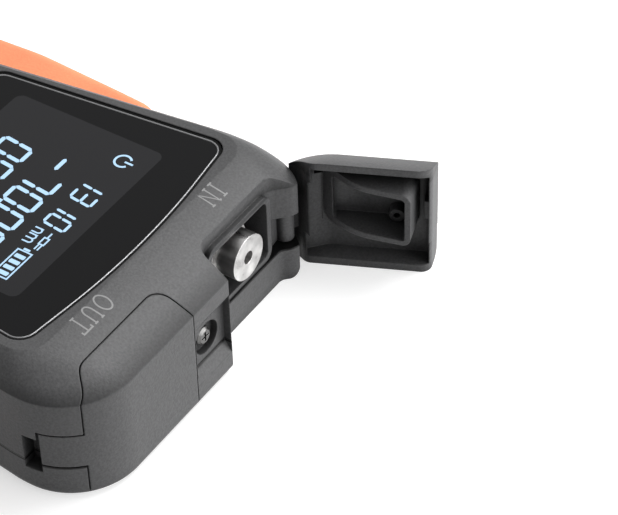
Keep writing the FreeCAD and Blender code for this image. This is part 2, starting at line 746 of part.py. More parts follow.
def make_key(name, place):
    """Key with a bevelled top and a flange that keeps it under the roof."""
    body = add_body(name)
    low = roof_under - size.key_play - size.flange_height
    pad(body, "XY", low, size.flange_height, circles=[(*place, size.key_radius + size.key_flange)])
    start, top = low + size.flange_height, size.full_height + size.key_proud
    pad(body, "XY", start, top - start, circles=[(*place, size.key_radius)])
    bevel_edges(body, size.key_edge, lambda edge: edge.BoundBox.ZMin > top.value - HAIR)
    return body


def make_mat():
    """Silicone mat with one dome under each key."""
    body = add_body("keypad_mat")
    half, margin = size.mat_half, size.key_radius + size.mat_margin
    plan = rectangle(-half, half, behind(size.key_first + size.key_row) - margin,
                     behind(size.key_first) + margin, size.mat_corner)
    pad(body, "XY", board_top, size.mat_thick, [plan])
    low = roof_under - size.key_play - size.flange_height
    rise = low - size.key_travel - size.bay_gap - board_top - size.mat_thick
    domes = [(x, y, size.dome_radius) for x, y in key_places.values()]
    pad(body, "XY", board_top + size.mat_thick, rise, circles=domes)
    return body


def make_grip(name, side):
    """Soft side grip with three gentle swells, filling the waist of the housing."""
    body = add_body(name)
    waist, out, swell = size.waist_half, size.grip_out, size.grip_swell
    start, end, pitch = size.grip_start, size.grip_end, size.grip_pitch
    slope = (size.tail_half - size.waist_half) / (size.body_length - size.waist_place)
    foot = waist + (end - size.waist_place) * slope
    bend, ease, turn = size.grip_pitch * 2, size.grip_ease, size.grip_turn
    plan = [
        (side_at(start), behind(start), 0), (waist, behind(size.waist_place), size.waist_round),
        (foot, behind(end), 0), (out - ease, behind(end) + turn, turn),
        (out + swell, behind(end - pitch), bend), (out, behind(end - pitch * 2), bend),
        (out + swell, behind(end - pitch * 3), bend), (out, behind(end - pitch * 4), bend),
        (out - ease, behind(start) - turn, turn),
    ]
    pad(body, "XY", size.grip_low, size.grip_high - size.grip_low, [on_side(side, plan)])
    low, high = size.grip_low.value + HAIR, size.grip_high.value - HAIR
    inside = (out - swell * 2).value
    round_edges(body, size.grip_round, lambda edge: abs(edge.CenterOfMass.x) > inside
                and (edge.BoundBox.ZMax < low or edge.BoundBox.ZMin > high))
    return body


def report_failures():
    for item in doc.Objects:
        if "Invalid" in item.State or "Error" in item.State:
            raise ValueError(f"{item.Label} failed: {item.State}")


def main():
    parts = [
        make_front_shell(), make_rear_shell(), make_grip("grip_left", -1), make_grip("grip_right", 1),
        make_cap("power_cap", -1, size.cap_opening), make_cap("laser_cap", 1),
        make_pin("power_pin", -1), make_pin("laser_pin", 1),
        make_sleeve("power_sleeve", -1), make_flange("power_flange", -1), make_detector(),
        make_sleeve("laser_sleeve", 1), make_flange("laser_flange", 1), make_laser(),
        make_web_screw(), make_rear_screws(), make_window(), make_lcd(), make_lcd_frame(),
        make_board(), make_battery(), make_socket(), make_mat(),
    ]
    parts += [make_key(name, place) for name, place in key_places.items()]
    doc.recompute()
    report_failures()
    os.makedirs("parts", exist_ok=True)
    for item in parts:
        if item.Shape.isNull() or not item.Shape.isValid():
            raise ValueError(f"{item.Label} has no valid shape")
        item.Shape.exportStep(f"parts/{item.Label}.step")
        print(f"{item.Label}: {len(item.Shape.Solids)} solids, {item.Shape.Volume:.0f} mm3")


if __name__ == "__main__":
    main()
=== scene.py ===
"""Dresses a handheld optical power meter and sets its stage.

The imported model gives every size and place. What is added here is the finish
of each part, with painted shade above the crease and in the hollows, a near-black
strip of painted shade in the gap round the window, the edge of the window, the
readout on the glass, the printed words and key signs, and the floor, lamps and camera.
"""

import json
import math
from typing import NamedTuple

import bmesh
import bpy
from bpy.props import (
    FloatProperty,
    FloatVectorProperty,
    IntProperty,
    PointerProperty,
    StringProperty,
)
from mathutils import Matrix, Vector
from mathutils.bvhtree import BVHTree

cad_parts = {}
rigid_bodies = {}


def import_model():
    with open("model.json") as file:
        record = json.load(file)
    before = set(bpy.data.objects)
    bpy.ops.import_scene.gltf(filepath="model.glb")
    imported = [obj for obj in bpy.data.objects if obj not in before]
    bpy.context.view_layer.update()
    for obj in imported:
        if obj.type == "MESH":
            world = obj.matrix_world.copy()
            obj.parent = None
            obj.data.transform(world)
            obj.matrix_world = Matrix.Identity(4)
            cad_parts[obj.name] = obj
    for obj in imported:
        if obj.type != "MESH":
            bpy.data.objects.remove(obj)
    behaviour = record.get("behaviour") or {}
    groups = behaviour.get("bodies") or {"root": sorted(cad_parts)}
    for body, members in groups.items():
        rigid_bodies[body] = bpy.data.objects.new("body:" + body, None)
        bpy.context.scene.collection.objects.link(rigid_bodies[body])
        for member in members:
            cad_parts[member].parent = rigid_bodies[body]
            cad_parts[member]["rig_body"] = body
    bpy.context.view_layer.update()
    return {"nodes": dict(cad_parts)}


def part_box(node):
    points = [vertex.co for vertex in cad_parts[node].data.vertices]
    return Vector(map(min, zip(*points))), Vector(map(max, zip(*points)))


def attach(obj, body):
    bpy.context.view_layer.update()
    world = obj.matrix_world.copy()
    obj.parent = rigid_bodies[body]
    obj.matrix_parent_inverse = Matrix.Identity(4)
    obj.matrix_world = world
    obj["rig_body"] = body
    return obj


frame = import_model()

bl_info = {
    "name": "Optical power meter",
    "version": (1, 0, 0),
    "blender": (4, 5, 0),
    "location": "View3D > Sidebar > Meter",
    "description": "Finishes, readout, printed signs and stage of a handheld optical power meter",
    "category": "Object",
}

MM = 0.001

SHELL_LOW, SHELL_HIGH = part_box("front_shell")
GLASS_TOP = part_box("display_window")[1].z
PORT_END = SHELL_HIGH.y

# Height of the domed top over the crease that runs round the housing.
CROWN_RISE = 5.0 * MM
# Display segments: how thick they are, and how far they reach into the glass.
SEGMENT_THICK = 0.03 * MM
SEGMENT_SINK = 0.01 * MM
# How far print reaches under the surface that it lies on, as a share of its height.
PRINT_SINK = 0.4
WHITE = (1.0, 1.0, 1.0, 1.0)
# The camera and the lamps point here, just outside the power port.
AIM = Vector((-0.0209, PORT_END + 0.0055, 0.0168))
# The even light on the meter, and the glow that makes the floor as white as the world.
EVEN_LIGHT = 0.29
FLOOR_GLOW = 0.55

SHELL_NODES = ("front_shell", "rear_shell")
CAP_NODES = ("power_cap", "laser_cap")
GRIP_NODES = ("grip_left", "grip_right")
KEY_NODES = ("key_power", "key_mode", "key_laser", "key_light", "key_unit", "key_zero")
PLATED_NODES = ("power_sleeve", "laser_sleeve", "power_flange", "laser_flange")
STEEL_NODES = ("power_pin", "laser_pin", "rear_screws", "charge_socket", "detector_can")


# ---------------------------------------------------------------- materials


def new_finish(name):
    """An empty node material with a Principled shader, as (material, nodes, links, shader)."""
    material = bpy.data.materials.new(name)
    material.use_nodes = True
    nodes = material.node_tree.nodes
    return material, nodes, material.node_tree.links, nodes["Principled BSDF"]


def object_coordinates(nodes, links, scale=(1.0, 1.0, 1.0)):
    """The piece's own coordinates in metres, stretched by scale."""
    coordinates = nodes.new("ShaderNodeTexCoord")
    mapping = nodes.new("ShaderNodeMapping")
    mapping.inputs["Scale"].default_value = scale
    links.new(coordinates.outputs["Object"], mapping.inputs["Vector"])
    return mapping.outputs["Vector"]


def noise(nodes, links, vector, scale, detail):
    """Cloudy noise of 0 to 1, with scale cells a metre."""
    texture = nodes.new("ShaderNodeTexNoise")
    texture.inputs["Scale"].default_value = scale
    texture.inputs["Detail"].default_value = detail
    links.new(vector, texture.inputs["Vector"])
    return texture.outputs["Fac"]


def worked_out(nodes, links, operation, first, second):
    """The result of an operation on an output and on another output or a number."""
    step = nodes.new("ShaderNodeMath")
    step.operation = operation
    links.new(first, step.inputs[0])
    if isinstance(second, float):
        step.inputs[1].default_value = second
    else:
        links.new(second, step.inputs[1])
    return step.outputs[0]


def multiplied(nodes, links, colour, other):
    """The product of two colour outputs."""
    product = nodes.new("ShaderNodeMix")
    product.data_type = "RGBA"
    product.blend_type = "MULTIPLY"
    product.inputs["Factor"].default_value = 1.0
    links.new(colour, product.inputs["A"])
    links.new(other, product.inputs["B"])
    return product.outputs["Result"]


def blend_of(nodes, links, factor, low, high):
    """A colour that runs from low to high with a factor of 0.3 to 0.7."""
    ramp = nodes.new("ShaderNodeValToRGB")
    ramp.color_ramp.elements[0].position = 0.3
    ramp.color_ramp.elements[1].position = 0.7
    ramp.color_ramp.elements[0].color = (*low, 1.0)
    ramp.color_ramp.elements[1].color = (*high, 1.0)
    links.new(factor, ramp.inputs["Fac"])
    return ramp.outputs["Color"]


def spread(nodes, links, factor, low, high):
    """A number that runs from low to high with a factor of 0.3 to 0.7."""
    span = nodes.new("ShaderNodeMapRange")
    span.inputs["From Min"].default_value = 0.3
    span.inputs["From Max"].default_value = 0.7
    span.inputs["To Min"].default_value = low
    span.inputs["To Max"].default_value = high
    links.new(factor, span.inputs["Value"])
    return span.outputs["Result"]


def grained_normal(nodes, links, height, strength, distance, edge_radius):
    """A bumped normal, over edges rounded by edge_radius metres."""
    bump = nodes.new("ShaderNodeBump")
    bump.inputs["Strength"].default_value = strength
    bump.inputs["Distance"].default_value = distance
    links.new(height, bump.inputs["Height"])
    if edge_radius:
        edge = nodes.new("ShaderNodeBevel")
        edge.samples = 6
        edge.inputs["Radius"].default_value = edge_radius
        links.new(edge.outputs["Normal"], bump.inputs["Normal"])
    return bump.outputs["Normal"]


def moulded(name, colour, roughness, grain, edge_radius, sheen=0.0, specular=0.5, speckle=0.18):
    """Moulded plastic or rubber: a fine spark-eroded grain, with wide, faint changes of tone."""
    material, nodes, links, shader = new_finish(name)
    place = object_coordinates(nodes, links)
    wide = noise(nodes, links, place, 60.0, 3.0)
    fine = noise(nodes, links, place, grain, 2.0)
    shader.inputs["Specular IOR Level"].default_value = specular
    shader.inputs["Sheen Weight"].default_value = sheen
    shader.inputs["Sheen Roughness"].default_value = 0.4
    tone = Vector(colour)
    clouds = blend_of(nodes, links, wide, tone * 0.93, tone * 1.07)
    specks = blend_of(nodes, links, fine, [1.0 - speckle] * 3, [1.0 + speckle] * 3)
    gloss = spread(nodes, links, wide, roughness - 0.04, roughness + 0.04)
    bumps = grained_normal(nodes, links, fine, 0.5, 0.08 * MM, edge_radius)
    links.new(multiplied(nodes, links, clouds, specks), shader.inputs["Base Color"])
    links.new(gloss, shader.inputs["Roughness"])
    links.new(bumps, shader.inputs["Normal"])
    return material


def shade_by_height(material, bands):
    """Darkens a finish at given heights; each band is a list of (height, share of the tone)."""
    nodes, links = material.node_tree.nodes, material.node_tree.links
    socket = nodes["Principled BSDF"].inputs["Base Color"]
    tone = socket.links[0].from_socket
    split = nodes.new("ShaderNodeSeparateXYZ")
    links.new(object_coordinates(nodes, links), split.inputs["Vector"])
    for band in bands:
        low, high = band[0][0], band[-1][0]
        place = nodes.new("ShaderNodeMapRange")
        place.inputs["From Min"].default_value = low
        place.inputs["From Max"].default_value = high
        links.new(split.outputs["Z"], place.inputs["Value"])
        ramp = nodes.new("ShaderNodeValToRGB")
        steps = ramp.color_ramp.elements
        while len(steps) < len(band):
            steps.new(0.5)
        for step, (height, share) in zip(steps, band):
            step.position = (height - low) / (high - low)
            step.color = (share, share, share, 1.0)
        links.new(place.outputs["Result"], ramp.inputs["Fac"])
        tone = multiplied(nodes, links, tone, ramp.outputs["Color"])
    links.new(tone, socket)


def paint_shade_in_hollows(material, reach):
    """Paints shade into a finish where other surfaces stand closer than reach metres."""
    nodes, links = material.node_tree.nodes, material.node_tree.links
    socket = nodes["Principled BSDF"].inputs["Base Color"]
    hollow = nodes.new("ShaderNodeAmbientOcclusion")
    hollow.samples = 8
    hollow.inputs["Distance"].default_value = reach
    painted_shade = nodes.new("ShaderNodeValToRGB")
    painted_shade.color_ramp.elements[0].position = 0.12
    painted_shade.color_ramp.elements[0].color = (0.1, 0.1, 0.1, 1.0)
    painted_shade.color_ramp.elements[1].position = 0.75
    links.new(hollow.outputs["AO"], painted_shade.inputs["Fac"])
    tone = socket.links[0].from_socket
    links.new(multiplied(nodes, links, tone, painted_shade.outputs["Color"]), socket)


def metal(name, colour, roughness, grain=900.0, stretch=(1.0, 1.0, 1.0), shade=0.94):
    """Turned or plated metal with a faint machining texture."""
    material, nodes, links, shader = new_finish(name)
    place = object_coordinates(nodes, links, stretch)
    lines = noise(nodes, links, place, grain, 2.0)
    shader.inputs["Metallic"].default_value = 1.0
    tone = Vector(colour)
    streaks = blend_of(nodes, links, lines, tone * shade, tone)
    gloss = spread(nodes, links, lines, roughness * 0.8, roughness * 1.3)
    scratches = grained_normal(nodes, links, lines, 0.12, 0.02 * MM, 0.12 * MM)
    links.new(streaks, shader.inputs["Base Color"])
    links.new(gloss, shader.inputs["Roughness"])
    links.new(scratches, shader.inputs["Normal"])
    return material


def painted(name, colour, glow=0.0):
    """A thin even layer of ink or lacquer, or a display segment that glows."""
    material, nodes, links, shader = new_finish(name)
    place = object_coordinates(nodes, links)
    fine = noise(nodes, links, place, 2500.0, 1.0)
    tone = Vector(colour) * (1.0 - glow)
    mottled = blend_of(nodes, links, fine, tone * 0.96, tone * 1.04)
    links.new(mottled, shader.inputs["Base Color"])
    shader.inputs["Roughness"].default_value = 0.5
    if glow:
        shader.inputs["Emission Color"].default_value = (*colour, 1.0)
        shader.inputs["Emission Strength"].default_value = glow
    return material


def tinted_glass(view_low, view_high):
    """Black tinted glass, a little paler over the display's view."""
    material, nodes, links, shader = new_finish("tinted_glass")
    place = object_coordinates(nodes, links)
    corner = 1.6 * MM
    middle = (view_low + view_high) / 2
    core = (view_high - view_low) / 2 - Vector((corner, corner, 0.0))
    # A rounded rectangle: points nearer than a corner's radius to the core are in view.
    vector = place
    for operation, other in (
        ("SUBTRACT", middle),
        ("MULTIPLY", (1.0, 1.0, 0.0)),
        ("ABSOLUTE", None),
        ("SUBTRACT", (core.x, core.y, 0.0)),
        ("MAXIMUM", (0.0, 0.0, 0.0)),
        ("LENGTH", None),
    ):
        step = nodes.new("ShaderNodeVectorMath")
        step.operation = operation
        links.new(vector, step.inputs[0])
        if other is not None:
            step.inputs[1].default_value = other
        vector = step.outputs["Value" if operation == "LENGTH" else "Vector"]
    within = worked_out(nodes, links, "LESS_THAN", vector, corner)
    smears = noise(nodes, links, place, 90.0, 3.0)
    border, view = Vector((0.007, 0.007, 0.0075)), Vector((0.021, 0.021, 0.0225))
    tint = blend_of(nodes, links, within, border, view)
    links.new(tint, shader.inputs["Base Color"])
    links.new(spread(nodes, links, smears, 0.06, 0.11), shader.inputs["Roughness"])
    shader.inputs["Specular IOR Level"].default_value = 0.08
    return material


def white_to_the_camera(nodes, links):
    """1 for camera, glossy and transmission rays, 0 for the rays that light the meter."""
    path = nodes.new("ShaderNodeLightPath")
    seen = path.outputs["Is Camera Ray"]
    for ray in ("Is Glossy Ray", "Is Transmission Ray"):
        seen = worked_out(nodes, links, "MAXIMUM", seen, path.outputs[ray])
    return seen


def dress(node, material):
    """Gives a carried-over node its finish."""
    piece = frame["nodes"][node]
    if not piece.material_slots:
        piece.data.materials.append(material)
    for place in piece.material_slots:
        place.material = material


# ---------------------------------------------------------------- shapes


def new_object(name, data):
    """A new object in the scene that holds a mesh, a lamp or a camera."""
    thing = bpy.data.objects.new(name, data)
    bpy.context.scene.collection.objects.link(thing)
    return thing


def join_piece(name, vertices, faces, material, body):
    """Adds a mesh piece that rides on a body, its faces turned outwards."""
    mesh = bpy.data.meshes.new(name)
    mesh.from_pydata([tuple(v) for v in vertices], [], faces)
    shape = bmesh.new()
    shape.from_mesh(mesh)
    bmesh.ops.recalc_face_normals(shape, faces=shape.faces)
    shape.to_mesh(mesh)
    shape.free()
    mesh.materials.append(material)
    piece = new_object(name, mesh)
    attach(piece, body)


def stroke(points, width, closed=False):
    """Four-cornered cells along a line of a given width, mitred where it bends."""
    pitch, sharpest = 1.2 * width, 0.35
    line = [Vector(point) for point in points]
    count = len(line)
    spans = count if closed else count - 1
    sides = []
    for i, point in enumerate(line):
        before = line[i - 1] if i or closed else None
        after = line[(i + 1) % count] if i + 1 < count or closed else None
        way = Vector((0.0, 0.0))
        for start, end in ((before, point), (point, after)):
            if start is not None and end is not None:
                way += (end - start).normalized()
        way.normalize()
        across = Vector((-way.y, way.x))
        run = (after - point if after is not None else point - before).normalized()
        lean = max(sharpest, abs(across.dot(Vector((-run.y, run.x)))))
        reach = across * (width / 2 / lean)
        sides.append((point + reach, point - reach))
    cells = []
    for i in range(spans):
        (left, right), (far_left, far_right) = sides[i], sides[(i + 1) % count]
        steps = max(1, round((far_left - left).length / pitch))
        for step in range(steps):
            low, high = step / steps, (step + 1) / steps
            cells.append(
                (
                    left.lerp(far_left, low),
                    right.lerp(far_right, low),
                    right.lerp(far_right, high),
                    left.lerp(far_left, high),
                )
            )
    return cells


def arc(centre, radii, start, stop, steps):
    """Points of an elliptical arc, in degrees."""
    turns = [math.radians(start + (stop - start) * i / steps) for i in range(steps + 1)]
    return [
        (centre[0] + radii[0] * math.cos(turn), centre[1] + radii[1] * math.sin(turn))
        for turn in turns
    ]


def bowed(centre, radii, start, stop):
    """The bow of a letter, as an arc of few points."""
    return arc(centre, radii, start, stop, 12)


def box_line(left, right, low, high):
    """Corners of an upright box, for a closed line."""
    return [(left, low), (left, high), (right, high), (right, low)]


# Each letter: its width over its height, and its lines on a unit square.
LETTERS = {
    "I": (0.34, ([(0.5, 0), (0.5, 1)], [(0.05, 0), (0.95, 0)], [(0.05, 1), (0.95, 1)])),
    "N": (
        0.74,
        (
            [(0.15, 0), (0.15, 1), (0.85, 0), (0.85, 1)],
            [(0, 0), (0.3, 0)], [(0, 1), (0.15, 1)], [(0.7, 1), (1, 1)],
        ),
    ),
    "O": (0.74, (arc((0.5, 0.5), (0.46, 0.5), 0, 360, 28),)),
    "U": (
        0.72,
        (
            [(0.15, 1), *bowed((0.5, 0.36), (0.35, 0.36), 180, 360), (0.85, 1)],
            [(0, 1), (0.3, 1)], [(0.7, 1), (1, 1)],
        ),
    ),
    "T": (
        0.66,
        (
            [(0.5, 0), (0.5, 1)],
            [(0, 0.84), (0, 1), (1, 1), (1, 0.84)],
            [(0.3, 0), (0.7, 0)],
        ),
    ),
    "n": (
        0.5,
        (
            [(0.05, 0), (0.05, 0.68)],
            [(0.05, 0.5), *bowed((0.5, 0.44), (0.42, 0.22), 140, 0), (0.92, 0)],
        ),
    ),
    "m": (
        0.85,
        (
            [(0.03, 0), (0.03, 0.68)],
            [(0.03, 0.5), *bowed((0.27, 0.46), (0.23, 0.2), 140, 0), (0.5, 0)],
            [(0.5, 0.46), *bowed((0.74, 0.46), (0.23, 0.2), 140, 0), (0.97, 0)],
        ),
    ),
    "d": (0.55, ([(0.92, 0), (0.92, 1)], bowed((0.48, 0.33), (0.43, 0.33), 0, 360))),
    "B": (
        0.6,
        (
            [(0.08, 0), (0.08, 1), *bowed((0.5, 0.76), (0.34, 0.24), 90, -90), (0.08, 0.52)],
            [*bowed((0.5, 0.26), (0.42, 0.26), 90, -90), (0.08, 0)],
        ),
    ),
}

# The lit segments of each figure, a to f clockwise from the top and g in the middle.
LIT_SEGMENTS = {
    "0": "abcdef", "1": "bc", "2": "abged", "3": "abgcd", "4": "fgbc",
    "5": "afgcd", "6": "afgedc", "7": "abc", "8": "abcdefg", "9": "abcdfg",
    "-": "g", " ": "",
}


def surface_of(node):
    """A tree of the node's surface, to drop points on."""
    mesh = frame["nodes"][node].data
    return BVHTree.FromPolygons(
        [v.co for v in mesh.vertices], [tuple(p.vertices) for p in mesh.polygons]
    )


def print_on(name, cells, surface, lift, material, body):
    """Lays flat cells on a surface from above, as a thin closed layer."""
    down = Vector((0, 0, -1))
    vertices, faces = [], []
    for cell in cells:
        base = len(vertices)
        for level in (lift, -PRINT_SINK * lift):
            for corner in cell:
                hit, normal, _, _ = surface.ray_cast(Vector((corner.x, corner.y, 1.0)), down)
                if hit is None:
                    raise RuntimeError(f"{name} runs off the surface it is printed on")
                vertices.append(hit + normal * level)
        faces += [(base, base + 1, base + 2, base + 3), (base + 4, base + 7, base + 6, base + 5)]
        for i in range(4):
            j = (i + 1) % 4
            faces.append((base + i, base + 4 + i, base + 4 + j, base + j))
    join_piece(name, vertices, faces, material, body)


def bar_mesh(name, length, width, point=0.5):
    """A flat bar along X about its middle, its ends pointed by a share of its width."""
    half, side, tip = length / 2, width / 2, width * point
    plan = [
        (-half, 0), (tip - half, -side), (half - tip, -side),
        (half, 0), (half - tip, side), (tip - half, side),
    ]
    vertices = [(x, y, 0.0) for x, y in plan] + [(x, y, SEGMENT_THICK) for x, y in plan]
    sides = [(i, (i + 1) % 6, (i + 1) % 6 + 6, i + 6) for i in range(6)]
    mesh = bpy.data.meshes.new(name)
    mesh.from_pydata(vertices, [], [(5, 4, 3, 2, 1, 0), (6, 7, 8, 9, 10, 11), *sides])
    return new_object(name, mesh)


# ---------------------------------------------------------------- node trees


def new_tree(name, inputs):
    """A geometry tree with named inputs, as (tree, nodes, links, input node)."""
    tree = bpy.data.node_groups.new(name, "GeometryNodeTree")
    tree.interface.new_socket("Geometry", in_out="INPUT", socket_type="NodeSocketGeometry")
    for label, kind in inputs:
        tree.interface.new_socket(label, in_out="INPUT", socket_type=kind)
    tree.interface.new_socket("Geometry", in_out="OUTPUT", socket_type="NodeSocketGeometry")
    return tree, tree.nodes, tree.links, tree.nodes.new("NodeGroupInput")


def close_tree(tree, source, given):
    """Ends a tree in Realize Instances and Set Material."""
    real = tree.nodes.new("GeometryNodeRealizeInstances")
    coat = tree.nodes.new("GeometryNodeSetMaterial")
    out = tree.nodes.new("NodeGroupOutput")
    tree.links.new(source, real.inputs[0])
    tree.links.new(real.outputs[0], coat.inputs["Geometry"])
    tree.links.new(given.outputs["Material"], coat.inputs["Material"])
    tree.links.new(coat.outputs[0], out.inputs[0])


def grow(name, mesh, tree, settings, body):
    """Runs a tree on a mesh and keeps the result as a plain piece."""
    seed = new_object(name + "_seed", mesh)
    modifier = seed.modifiers.new(name, "NODES")
    modifier.node_group = tree
    for socket in tree.interface.items_tree:
        if socket.in_out == "INPUT" and socket.name in settings:
            modifier[socket.identifier] = settings[socket.name]
    seed.update_tag()
    graph = bpy.context.evaluated_depsgraph_get()
    grown = bpy.data.meshes.new_from_object(seed.evaluated_get(graph))
    grown.name = name
    bpy.data.objects.remove(seed)
    piece = new_object(name, grown)
    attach(piece, body)


def digit_tree():
    """Places a display segment on every point and leans the row like italic figures."""
    tree, nodes, links, given = new_tree(
        "display_digits",
        (
            ("Across bar", "NodeSocketObject"),
            ("Upright bar", "NodeSocketObject"),
            ("Lean", "NodeSocketFloat"),
            ("Foot of the row", "NodeSocketFloat"),
            ("Material", "NodeSocketMaterial"),
        ),
    )
    upright = nodes.new("GeometryNodeInputNamedAttribute")
    upright.data_type = "BOOLEAN"
    upright.inputs["Name"].default_value = "upright"
    across = nodes.new("FunctionNodeBooleanMath")
    across.operation = "NOT"
    links.new(upright.outputs["Attribute"], across.inputs[0])
    both = nodes.new("GeometryNodeJoinGeometry")
    for bar, chosen in (
        ("Across bar", across.outputs[0]),
        ("Upright bar", upright.outputs["Attribute"]),
    ):
        shape = nodes.new("GeometryNodeObjectInfo")
        place = nodes.new("GeometryNodeInstanceOnPoints")
        links.new(given.outputs[bar], shape.inputs["Object"])
        links.new(given.outputs["Geometry"], place.inputs["Points"])
        links.new(chosen, place.inputs["Selection"])
        links.new(shape.outputs["Geometry"], place.inputs["Instance"])
        if bar == "Upright bar":
            place.inputs["Rotation"].default_value = (0.0, 0.0, math.pi / 2)
        links.new(place.outputs[0], both.inputs[0])
    real = nodes.new("GeometryNodeRealizeInstances")
    links.new(both.outputs[0], real.inputs[0])
    spot = nodes.new("GeometryNodeInputPosition")
    parts = nodes.new("ShaderNodeSeparateXYZ")
    links.new(spot.outputs[0], parts.inputs[0])
    foot, lean = given.outputs["Foot of the row"], given.outputs["Lean"]
    height = worked_out(nodes, links, "SUBTRACT", parts.outputs["Y"], foot)
    slide = worked_out(nodes, links, "MULTIPLY", height, lean)
    offset = nodes.new("ShaderNodeCombineXYZ")
    links.new(slide, offset.inputs["X"])
    shift = nodes.new("GeometryNodeSetPosition")
    links.new(real.outputs[0], shift.inputs["Geometry"])
    links.new(offset.outputs[0], shift.inputs["Offset"])
    close_tree(tree, shift.outputs[0], given)
    return tree


def bars_tree():
    """A row of equal bars, one per step."""
    tree, nodes, links, given = new_tree(
        "charge_bars",
        (
            ("Bar", "NodeSocketObject"),
            ("Count", "NodeSocketInt"),
            ("Start", "NodeSocketVector"),
            ("Pitch", "NodeSocketVector"),
            ("Material", "NodeSocketMaterial"),
        ),
    )
    row = nodes.new("GeometryNodeMeshLine")
    links.new(given.outputs["Count"], row.inputs["Count"])
    links.new(given.outputs["Start"], row.inputs["Start Location"])
    links.new(given.outputs["Pitch"], row.inputs["Offset"])
    shape = nodes.new("GeometryNodeObjectInfo")
    links.new(given.outputs["Bar"], shape.inputs["Object"])
    place = nodes.new("GeometryNodeInstanceOnPoints")
    links.new(row.outputs[0], place.inputs["Points"])
    links.new(shape.outputs["Geometry"], place.inputs["Instance"])
    close_tree(tree, place.outputs[0], given)
    return tree


def rim_tree():
    """A four-cornered bead that follows a closed outline."""
    tree, nodes, links, given = new_tree(
        "glass_rim",
        (("Width", "NodeSocketFloat"), ("Material", "NodeSocketMaterial")),
    )
    path = nodes.new("GeometryNodeMeshToCurve")
    bead = nodes.new("GeometryNodeCurvePrimitiveCircle")
    bead.inputs["Resolution"].default_value = 4
    sweep = nodes.new("GeometryNodeCurveToMesh")
    links.new(given.outputs["Geometry"], path.inputs[0])
    links.new(given.outputs["Width"], bead.inputs["Radius"])
    links.new(path.outputs[0], sweep.inputs["Curve"])
    links.new(bead.outputs["Curve"], sweep.inputs["Profile Curve"])
    close_tree(tree, sweep.outputs[0], given)
    return tree


# ---------------------------------------------------------------- settings


class MeterBodySettings(bpy.types.PropertyGroup):
    """Colours and grain of the moulded parts."""

    shell_colour: FloatVectorProperty(
        name="Shell colour",
        description="Soft-touch plastic of the two shells and the port caps",
        subtype="COLOR",
        size=3,
        min=0.0,
        max=1.0,
        default=(0.066, 0.066, 0.0675),
    )
    grip_colour: FloatVectorProperty(
        name="Grip colour",
        description="Rubber of the two side grips",
        subtype="COLOR",
        size=3,
        min=0.0,
        max=1.0,
        default=(0.93, 0.288, 0.147),
    )
    key_colour: FloatVectorProperty(
        name="Key colour",
        description="Silicone of the six keys",
        subtype="COLOR",
        size=3,
        min=0.0,
        max=1.0,
        default=(0.16, 0.16, 0.165),
    )
    edge_radius: FloatProperty(
        name="Edge radius",
        description="Radius that moulded edges and seams appear to have",
        subtype="DISTANCE",
        default=0.35 * MM,
        min=0.0,
    )
    grain_scale: FloatProperty(
        name="Grain",
        description="Grain cells per metre of the moulded surface",
        default=2300.0,
        min=1.0,
    )
    seam_width: FloatProperty(
        name="Seam width",
        description="Width of the dark line where the front and rear shells meet",
        subtype="DISTANCE",
        default=0.42 * MM,
        min=0.02 * MM,
    )
    rim_width: FloatProperty(
        name="Window edge",
        description="Width of the polished edge round the window",
        subtype="DISTANCE",
        default=0.4 * MM,
        min=0.05 * MM,
    )


class MeterReadoutSettings(bpy.types.PropertyGroup):
    """What the display shows, and the colours of its light and of the printed words."""

    wavelength: StringProperty(
        name="Wavelength",
        description="Figures of the top row, in nanometres",
        default="1310",
    )
    power_level: StringProperty(
        name="Power level",
        description="Figures of the middle row, in dBm",
        default="-70.00",
    )
    reference_level: StringProperty(
        name="Reference level",
        description="Figures of the bottom row, in dB",
        default="00.00",
    )
    charge_bars: IntProperty(
        name="Charge bars",
        description="Lit bars in the battery sign",
        default=4,
        min=0,
        max=4,
    )
    lean: FloatProperty(
        name="Lean",
        description="How far the figures lean, as a share of their height",
        subtype="FACTOR",
        default=0.1,
        min=0.0,
        max=0.3,
    )
    lit_colour: FloatVectorProperty(
        name="Lit colour",
        description="Light of the display segments",
        subtype="COLOR",
        size=3,
        min=0.0,
        max=1.0,
        default=(0.49, 0.74, 0.99),
    )
    ink_colour: FloatVectorProperty(
        name="Ink colour",
        description="Ink of the words beside the ports",
        subtype="COLOR",
        size=3,
        min=0.0,
        max=1.0,
        default=(0.19, 0.19, 0.19),
    )


class MeterStageSettings(bpy.types.PropertyGroup):
    """Camera and floor."""

    azimuth: FloatProperty(
        name="Azimuth",
        description="Turn of the camera round the meter, from straight behind the tail",
        subtype="ANGLE",
        default=math.radians(124.52),
    )
    elevation: FloatProperty(
        name="Elevation",
        description="Height of the camera above the floor, as an angle",
        subtype="ANGLE",
        default=math.radians(43.05),
    )
    roll: FloatProperty(
        name="Roll",
        description="Tilt of the camera about its own line of sight",
        subtype="ANGLE",
        default=math.radians(-1.73),
    )
    distance: FloatProperty(
        name="Distance",
        description="From the camera to the point that it looks at",
        subtype="DISTANCE",
        default=0.45,
        min=0.05,
    )
    lens: FloatProperty(
        name="Lens",
        description="Focal length in millimetres on a 36 mm wide film",
        default=154.0,
        min=10.0,
    )
    floor_colour: FloatVectorProperty(
        name="Floor colour",
        description="Colour of the floor where lamps light it",
        subtype="COLOR",
        size=3,
        min=0.0,
        max=1.0,
        default=(0.62, 0.62, 0.62),
    )


# ---------------------------------------------------------------- operators


